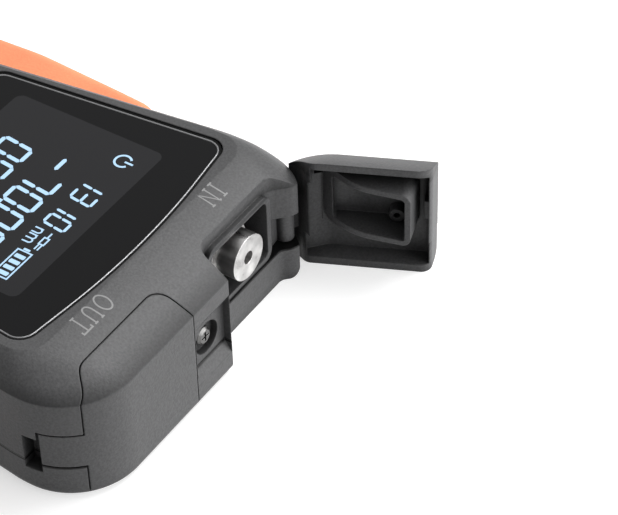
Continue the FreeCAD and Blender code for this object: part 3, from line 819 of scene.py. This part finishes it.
class METER_OT_shells(bpy.types.Operator):
    """Give the two shells and the port caps their soft-touch plastic, with painted shade above
    the crease and in the hollows
    """

    bl_idname = "meter.shells"
    bl_label = "Finish the shells"

    def execute(self, context):
        body = context.scene.meter_body
        crease = SHELL_HIGH.z - CROWN_RISE
        parting = SHELL_LOW.z
        line = body.seam_width / 2
        # Heights, and the share of the finish's brightness that is left there: painted shade in a
        # band just above the crease, and the dark line where the shells meet.
        painted_crease_shade = (
            (crease - 0.5 * MM, 1.0),
            (crease - 0.1 * MM, 0.85),
            (crease + 0.1 * MM, 0.42),
            (crease + 2.2 * MM, 1.0),
        )
        parting_band = (
            (parting - 2 * line, 1.0),
            (parting - line, 0.04),
            (parting + line, 0.04),
            (parting + 2 * line, 1.0),
        )
        for name, pieces, bands in (
            ("shell_plastic", SHELL_NODES, (painted_crease_shade, parting_band)),
            ("cap_plastic", CAP_NODES, (painted_crease_shade,)),
        ):
            plastic = moulded(
                name, body.shell_colour, 0.42, body.grain_scale, body.edge_radius, specular=0.22
            )
            shade_by_height(plastic, bands)
            # Painted shade in the slots, recesses and seams and inside the caps.
            paint_shade_in_hollows(plastic, 6.0 * MM)
            for node in pieces:
                dress(node, plastic)
        return {"FINISHED"}


class METER_OT_grips(bpy.types.Operator):
    """Give the side grips their rubber"""

    bl_idname = "meter.grips"
    bl_label = "Finish the grips"

    def execute(self, context):
        body = context.scene.meter_body
        edges = body.edge_radius
        rubber = moulded(
            "grip_rubber", body.grip_colour, 0.6, 2200.0, edges, specular=0.15, speckle=0.05
        )
        for node in GRIP_NODES:
            dress(node, rubber)
        return {"FINISHED"}


class METER_OT_metalwork(bpy.types.Operator):
    """Give adapters, pins and screws their metals"""

    bl_idname = "meter.metalwork"
    bl_label = "Finish the metalwork"

    def execute(self, context):
        plated = metal("plated_nickel", (0.82, 0.81, 0.8), 0.32, 420.0, (1.0, 0.03, 1.0), 0.6)
        steel = metal("brushed_steel", (0.36, 0.355, 0.35), 0.34, 1400.0)
        blackened = metal("blackened_steel", (0.15, 0.148, 0.146), 0.36, 1400.0)
        brass = metal("turned_brass", (0.78, 0.60, 0.28), 0.28)
        for node in PLATED_NODES:
            dress(node, plated)
        for node in STEEL_NODES:
            dress(node, steel)
        dress("laser_module", brass)
        dress("web_screw", blackened)
        return {"FINISHED"}


class METER_OT_inner_parts(bpy.types.Operator):
    """Give the board, battery, display parts and keypad mat their finishes"""

    bl_idname = "meter.inner_parts"
    bl_label = "Finish the inner parts"

    def execute(self, context):
        for node, name, colour, roughness, grain in (
            ("main_board", "solder_mask", (0.02, 0.16, 0.06), 0.35, 900.0),
            ("battery_pack", "battery_wrap", (0.06, 0.16, 0.42), 0.4, 1500.0),
            ("lcd_frame", "display_frame", (0.55, 0.55, 0.54), 0.5, 1800.0),
            ("lcd_panel", "display_glass", (0.033, 0.033, 0.035), 0.2, 1500.0),
            ("keypad_mat", "keypad_silicone", (0.1, 0.1, 0.105), 0.6, 1800.0),
        ):
            dress(node, moulded(name, colour, roughness, grain, edge_radius=0.0))
        return {"FINISHED"}


class METER_OT_keys(bpy.types.Operator):
    """Give the six keys their silicone"""

    bl_idname = "meter.keys"
    bl_label = "Finish the keys"

    def execute(self, context):
        body = context.scene.meter_body
        silicone = moulded("key_silicone", body.key_colour, 0.55, 2400.0, 0.25 * MM, sheen=0.1)
        for node in KEY_NODES:
            dress(node, silicone)
        return {"FINISHED"}


class METER_OT_glass(bpy.types.Operator):
    """Give the display window its tinted glass"""

    bl_idname = "meter.glass"
    bl_label = "Finish the window"

    def execute(self, context):
        low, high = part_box("lcd_panel")
        border = Vector((1.9 * MM, 1.2 * MM, 0.0))
        dress("display_window", tinted_glass(low + border, high - border))
        return {"FINISHED"}


class METER_OT_rim(bpy.types.Operator):
    """Lay a near-black strip of painted shade in the gap round the window, and polish the edge of
    the glass
    """

    bl_idname = "meter.rim"
    bl_label = "Edge the window"

    def execute(self, context):
        body = context.scene.meter_body
        polished = metal("polished_edge", (0.24, 0.24, 0.245), 0.42, 1500.0)
        # The near-black strip is painted shade: it stands for the shade in the gap between the
        # glass and the shell.
        rubber = moulded("gasket_rubber", (0.004, 0.004, 0.004), 0.7, 2400.0, 0.0, specular=0.1)
        tree = rim_tree()
        for name, inset, drop, width, finish in (
            ("window_gasket", 0.0, 0.12 * MM, 0.5 * MM, rubber),
            ("window_rim", 0.5 * MM, 0.0, body.rim_width, polished),
        ):
            outline = self.outline_of_the_glass(name + "_line", inset, drop)
            settings = {"Width": width / 2, "Material": finish}
            grow(name, outline, tree, settings, "housing")
        return {"FINISHED"}

    def outline_of_the_glass(self, name, inset, drop):
        """The closed edge of the window's flat top, moved in and down."""
        hair = 0.001 * MM
        shape = bmesh.new()
        shape.from_mesh(frame["nodes"]["display_window"].data)
        bmesh.ops.remove_doubles(shape, verts=shape.verts, dist=hair)
        level = GLASS_TOP - hair
        top = [face for face in shape.faces if min(v.co.z for v in face.verts) > level]
        if not top:
            raise RuntimeError("the window has no flat top to edge")
        bmesh.ops.dissolve_faces(shape, faces=top)
        top = [face for face in shape.faces if min(v.co.z for v in face.verts) > level]
        if inset:
            bmesh.ops.inset_region(shape, faces=top, thickness=inset, use_even_offset=True)
        corners = [vertex.co.copy() for vertex in top[0].verts]
        shape.free()
        outline = bpy.data.meshes.new(name)
        outline.from_pydata(
            [(corner.x, corner.y, corner.z - drop) for corner in corners],
            [(i, (i + 1) % len(corners)) for i in range(len(corners))],
            [],
        )
        return outline


def word_cells(word, middle, height, width, spacing):
    """Cells of a short word centred on a point, spacing being a share of its height."""
    total = sum(LETTERS[mark][0] for mark in word) + spacing * (len(word) - 1)
    left = middle[0] - total * height / 2
    foot = middle[1] - height / 2
    cells = []
    for mark in word:
        share, lines = LETTERS[mark]
        for line in lines:
            points = [(left + x * share * height, foot + y * height) for x, y in line]
            cells += stroke(points, width)
        left += (share + spacing) * height
    return cells


# Gap between two segments and size of a decimal point, in millimetres.
SEGMENT_GAP = 0.12
DOT = 0.8


class Row(NamedTuple):
    """A row of figures: its start from the middle of the port end and its sizes, in mm."""

    left: float
    foot: float
    width: float
    height: float
    pitch: float
    thick: float


ROWS = {
    "wavelength": Row(-9.9, -31.6, 2.4, 4.5, 3.7, 0.55),
    "power_level": Row(-11.6, -41.1, 3.5, 6.3, 5.25, 0.8),
    "reference_level": Row(-10.4, -50.6, 3.5, 6.3, 5.25, 0.8),
}

# Signs of the display, in millimetres from the middle of the port end: the points
# of each line, its width and whether it is closed.
SIGN_LINES = {
    "power ring": (arc((-15.9, -29.3), (1.5, 1.5), 125, 415, 24), 0.42, False),
    "power stem": ([(-15.9, -28.9), (-15.9, -27.2)], 0.42, False),
    "plug": (box_line(6.7, 8.4, -28.9, -27.9), 0.3, True),
    "upper prong": ([(8.5, -28.1), (9.9, -28.1)], 0.28, False),
    "lower prong": ([(8.5, -28.7), (9.9, -28.7)], 0.28, False),
    "plug lead": ([(6.6, -28.4), (5.3, -28.4)], 0.3, False),
    "battery case": (box_line(11.2, 18.1, -31.0, -28.1), 0.3, True),
    "battery tip": ([(10.7, -30.2), (10.7, -28.9)], 0.5, False),
}

# Units: the word, its middle, its height, the width of its lines and the share of
# its height that is left between letters.
UNITS = (
    ("nm", (7.2, -30.6), 2.6, 0.3, 0.14),
    ("dBm", (18.0, -40.1), 2.3, 0.32, 0.12),
    ("dB", (16.9, -49.6), 2.3, 0.32, 0.12),
)


def segment_points(text, row):
    """Middles of the lit segments of a number, as (points, upright flags, dots)."""
    places = {
        "a": (0.5, 1.0, False), "g": (0.5, 0.5, False), "d": (0.5, 0.0, False),
        "f": (0.0, 0.75, True), "b": (1.0, 0.75, True),
        "e": (0.0, 0.25, True), "c": (1.0, 0.25, True),
    }
    left = row.left
    points, upright, dots = [], [], []
    for mark in text:
        if mark == ".":
            dots.append((left - (row.pitch - row.width) / 2, row.foot))
            continue
        for segment in LIT_SEGMENTS[mark]:
            across, up, stands = places[segment]
            points.append((left + across * row.width, row.foot + up * row.height))
            upright.append(stands)
        left += row.pitch
    return points, upright, dots


class METER_OT_readout(bpy.types.Operator):
    """Light the numbers and signs of the display"""

    bl_idname = "meter.readout"
    bl_label = "Light the readout"

    def execute(self, context):
        readout = context.scene.meter_readout
        lit = painted("lit_segments", readout.lit_colour, glow=0.7)
        glass = surface_of("display_window")
        tree = digit_tree()
        dots = []
        for name, row in ROWS.items():
            dots += self.set_row(name, getattr(readout, name), row, readout.lean, tree, lit)
        self.set_signs(dots, glass, lit)
        self.set_charge(readout.charge_bars, lit)
        return {"FINISHED"}

    def set_row(self, name, text, row, lean, tree, lit):
        """Lights a row of figures, and gives the places of its decimal points."""
        points, upright, dots = segment_points(text, row)
        level = GLASS_TOP - SEGMENT_SINK
        mesh = bpy.data.meshes.new(name)
        mesh.from_pydata([(x * MM, PORT_END + y * MM, level) for x, y in points], [], [])
        flags = mesh.attributes.new("upright", "BOOLEAN", "POINT")
        flags.data.foreach_set("value", upright)
        thick = row.thick * MM
        long, short = (row.width - SEGMENT_GAP) * MM, (row.height / 2 - SEGMENT_GAP) * MM
        across = bar_mesh(name + "_across", long, thick)
        stood = bar_mesh(name + "_upright", short, thick)
        settings = {
            "Across bar": across,
            "Upright bar": stood,
            "Lean": lean,
            "Foot of the row": PORT_END + row.foot * MM,
            "Material": lit,
        }
        grow(name, mesh, tree, settings, "housing")
        for bar in (across, stood):
            bpy.data.objects.remove(bar)
        return dots

    def set_signs(self, dots, glass, lit):
        """Lights the decimal points, the signs and the units."""
        lift = 0.02 * MM
        cells = []
        for x, y in dots:
            cells += stroke([(x - DOT / 2, y), (x + DOT / 2, y)], DOT)
        for line, width, closed in SIGN_LINES.values():
            cells += stroke(line, width, closed)
        for unit in UNITS:
            cells += word_cells(*unit)
        placed = [
            tuple(Vector((corner.x * MM, PORT_END + corner.y * MM)) for corner in cell)
            for cell in cells
        ]
        print_on("display_icons", placed, glass, lift, lit, "housing")

    def set_charge(self, count, lit):
        """Fills the battery sign with bars, from its closed end to its tip."""
        if not count:
            return
        length, width, pitch = 2.1 * MM, 0.9 * MM, 1.5 * MM
        bar = bar_mesh("charge_bar", length, width, point=0.12)
        bar.data.transform(Matrix.Rotation(math.pi / 2, 4, "Z"))
        settings = {
            "Bar": bar,
            "Count": count,
            "Start": (17.1 * MM, PORT_END - 29.55 * MM, GLASS_TOP - SEGMENT_SINK),
            "Pitch": (-pitch, 0.0, 0.0),
            "Material": lit,
        }
        seed = bpy.data.meshes.new("charge_level")
        grow("charge_level", seed, bars_tree(), settings, "housing")
        bpy.data.objects.remove(bar)


class METER_OT_port_words(bpy.types.Operator):
    """Print the words IN and OUT beside the two ports"""

    bl_idname = "meter.port_words"
    bl_label = "Print the port words"

    def execute(self, context):
        ink = painted("port_ink", context.scene.meter_readout.ink_colour)
        crown = surface_of("front_shell")
        lift = 0.015 * MM
        for name, word, node in (
            ("word_in", "IN", "power_sleeve"),
            ("word_out", "OUT", "laser_sleeve"),
        ):
            low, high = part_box(node)
            middle = ((low.x + high.x) / 2, PORT_END - 11.4 * MM)
            cells = word_cells(word, middle, height=3.4 * MM, width=0.3 * MM, spacing=0.2)
            print_on(name, cells, crown, lift, ink, "housing")
        return {"FINISHED"}


class METER_OT_key_signs(bpy.types.Operator):
    """Print a plain sign on each key"""

    bl_idname = "meter.key_signs"
    bl_label = "Print the key signs"

    def execute(self, context):
        ink = painted("key_ink", (0.72, 0.72, 0.72))
        lift = 0.01 * MM
        signs = self.signs()
        for key in KEY_NODES:
            low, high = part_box(key)
            middle = (low + high) / 2
            if key == "key_unit":
                cells = word_cells("dB", middle, height=2.7 * MM, width=0.4 * MM, spacing=0.14)
            else:
                cells = self.sign_cells(signs[key], middle)
            body = frame["nodes"][key]["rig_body"]
            print_on(key + "_sign", cells, surface_of(key), lift, ink, body)
        return {"FINISHED"}

    def sign_cells(self, lines, middle):
        """Cells of a sign's lines about the middle of its key."""
        width = 0.42 * MM
        cells = []
        for line in lines:
            points = [(middle.x + x * MM, middle.y + y * MM) for x, y in line]
            cells += stroke(points, width)
        return cells

    def signs(self):
        """Lines of each drawn sign about the middle of its key, in millimetres."""
        return {
            "key_power": [arc((0, -0.2), (1.9, 1.9), 125, 415, 28), [(0, 0.5), (0, 2.3)]],
            "key_mode": [
                [(-1.4, 2.2), (-0.8, 2.2), (-0.35, 1.7), (1.4, -2.0)],
                [(0.15, 0.6), (-1.4, -2.0)],
            ],
            "key_laser": self.rays(0.75, 1.9, 8) + [[(0.0, 0.0), (2.9, 0.0)]],
            "key_light": self.rays(1.5, 2.3, 8) + [arc((0, 0), (0.9, 0.9), 0, 360, 20)],
            "key_zero": [[(0, 1.9), (-1.9, -1.4), (1.9, -1.4), (0, 1.9)]],
        }

    def rays(self, start, end, count):
        """Lines from one distance to another, spread evenly round the middle."""
        turns = [2 * math.pi * i / count for i in range(count)]
        return [
            [(reach * math.cos(turn), reach * math.sin(turn)) for reach in (start, end)]
            for turn in turns
        ]


class METER_OT_stage(bpy.types.Operator):
    """Set the pale floor, the soft lamps and the camera"""

    bl_idname = "meter.stage"
    bl_label = "Set the stage"

    def execute(self, context):
        stage = context.scene.meter_stage
        context.scene.view_settings.view_transform = "Standard"
        self.set_floor(stage)
        self.set_world(context)
        self.set_lamps()
        self.set_camera(context, stage)
        return {"FINISHED"}

    def set_floor(self, stage):
        """A wide, faintly glowing floor, a little below the back so that the faces don't meet."""
        mesh = bpy.data.meshes.new("floor")
        reach, level = 3.0, -0.05 * MM
        corners = ((-reach, -reach), (reach, -reach), (reach, reach), (-reach, reach))
        mesh.from_pydata([(x, y, level) for x, y in corners], [], [(0, 1, 2, 3)])
        floor = new_object("floor", mesh)
        material, nodes, links, shader = new_finish("pale_floor")
        place = object_coordinates(nodes, links)
        cloudy = noise(nodes, links, place, 3.0, 2.0)
        tone = Vector(stage.floor_colour)
        mottled = blend_of(nodes, links, cloudy, tone * 0.99, tone)
        links.new(mottled, shader.inputs["Base Color"])
        shader.inputs["Roughness"].default_value = 0.9
        shader.inputs["Specular IOR Level"].default_value = 0.1
        shader.inputs["Emission Color"].default_value = WHITE
        seen = white_to_the_camera(nodes, links)
        glow = worked_out(nodes, links, "MULTIPLY", seen, FLOOR_GLOW)
        links.new(glow, shader.inputs["Emission Strength"])
        mesh.materials.append(material)

    def set_world(self, context):
        """White to look at, and a dimmer even light on the meter."""
        world = bpy.data.worlds.new("studio")
        world.use_nodes = True
        context.scene.world = world
        nodes, links = world.node_tree.nodes, world.node_tree.links
        lit = nodes["Background"]
        lit.inputs["Color"].default_value = WHITE
        lit.inputs["Strength"].default_value = EVEN_LIGHT
        seen = nodes.new("ShaderNodeBackground")
        seen.inputs["Color"].default_value = WHITE
        seen.inputs["Strength"].default_value = 1.0
        choice = nodes.new("ShaderNodeMixShader")
        links.new(white_to_the_camera(nodes, links), choice.inputs[0])
        links.new(lit.outputs[0], choice.inputs[1])
        links.new(seen.outputs[0], choice.inputs[2])
        links.new(choice.outputs[0], nodes["World Output"].inputs["Surface"])

    def set_lamps(self):
        """Soft lamps, each at a place from the aim, of a size in metres and a power in watts."""
        for name, place, size, power in (
            ("key_softbox", (-0.32, 0.93, 0.32), (1.3, 0.5), 14.5),
            ("top_softbox", (-0.38, 0.12, 0.62), (0.5, 0.42), 5.0),
            ("fill_softbox", (0.6, 0.5, 0.6), (0.6, 0.6), 0.2),
        ):
            light = bpy.data.lights.new(name, "AREA")
            light.shape = "RECTANGLE"
            light.size, light.size_y = size
            light.energy = power
            lamp = new_object(name, light)
            lamp.location = AIM + Vector(place)
            lamp.rotation_euler = (-Vector(place)).to_track_quat("-Z", "Y").to_euler()

    def set_camera(self, context, stage):
        """A camera that looks at the aim, turned about its line of sight by the roll."""
        sensor = bpy.data.cameras.new("camera")
        sensor.sensor_width = 36.0
        sensor.lens = stage.lens
        sensor.clip_start = 0.01
        camera = new_object("camera", sensor)
        turn, flat = stage.azimuth, math.cos(stage.elevation)
        back = Vector((math.sin(turn) * flat, -math.cos(turn) * flat, math.sin(stage.elevation)))
        right = Vector((0, 0, 1)).cross(back).normalized()
        above = back.cross(right)
        turned_right = right * math.cos(stage.roll) + above * math.sin(stage.roll)
        turned_up = above * math.cos(stage.roll) - right * math.sin(stage.roll)
        camera.matrix_world = Matrix.Translation(AIM + back * stage.distance) @ Matrix(
            (turned_right, turned_up, back)
        ).transposed().to_4x4()
        context.scene.camera = camera


class METER_PT_parts(bpy.types.Panel):
    """Lists the steps that dress the meter"""

    bl_idname = "METER_PT_parts"
    bl_label = "Optical power meter"
    bl_space_type = "VIEW_3D"
    bl_region_type = "UI"
    bl_category = "Meter"

    def draw(self, context):
        layout = self.layout
        scene = context.scene
        for group in (scene.meter_body, scene.meter_readout, scene.meter_stage):
            for name in group.bl_rna.properties.keys():
                if name not in {"rna_type", "name"}:
                    layout.prop(group, name)
        for step in STEPS:
            layout.operator(step.bl_idname)


STEPS = (
    METER_OT_shells,
    METER_OT_grips,
    METER_OT_metalwork,
    METER_OT_inner_parts,
    METER_OT_keys,
    METER_OT_glass,
    METER_OT_rim,
    METER_OT_readout,
    METER_OT_port_words,
    METER_OT_key_signs,
    METER_OT_stage,
)
CLASSES = (
    MeterBodySettings,
    MeterReadoutSettings,
    MeterStageSettings,
    *STEPS,
    METER_PT_parts,
)


def register():
    for one in CLASSES:
        bpy.utils.register_class(one)
    bpy.types.Scene.meter_body = PointerProperty(type=MeterBodySettings)
    bpy.types.Scene.meter_readout = PointerProperty(type=MeterReadoutSettings)
    bpy.types.Scene.meter_stage = PointerProperty(type=MeterStageSettings)


def unregister():
    del bpy.types.Scene.meter_stage
    del bpy.types.Scene.meter_readout
    del bpy.types.Scene.meter_body
    for one in reversed(CLASSES):
        bpy.utils.unregister_class(one)


def main():
    register()
    for step in STEPS:
        family, name = step.bl_idname.split(".")
        getattr(getattr(bpy.ops, family), name)()


if __name__ == "__main__":
    main()
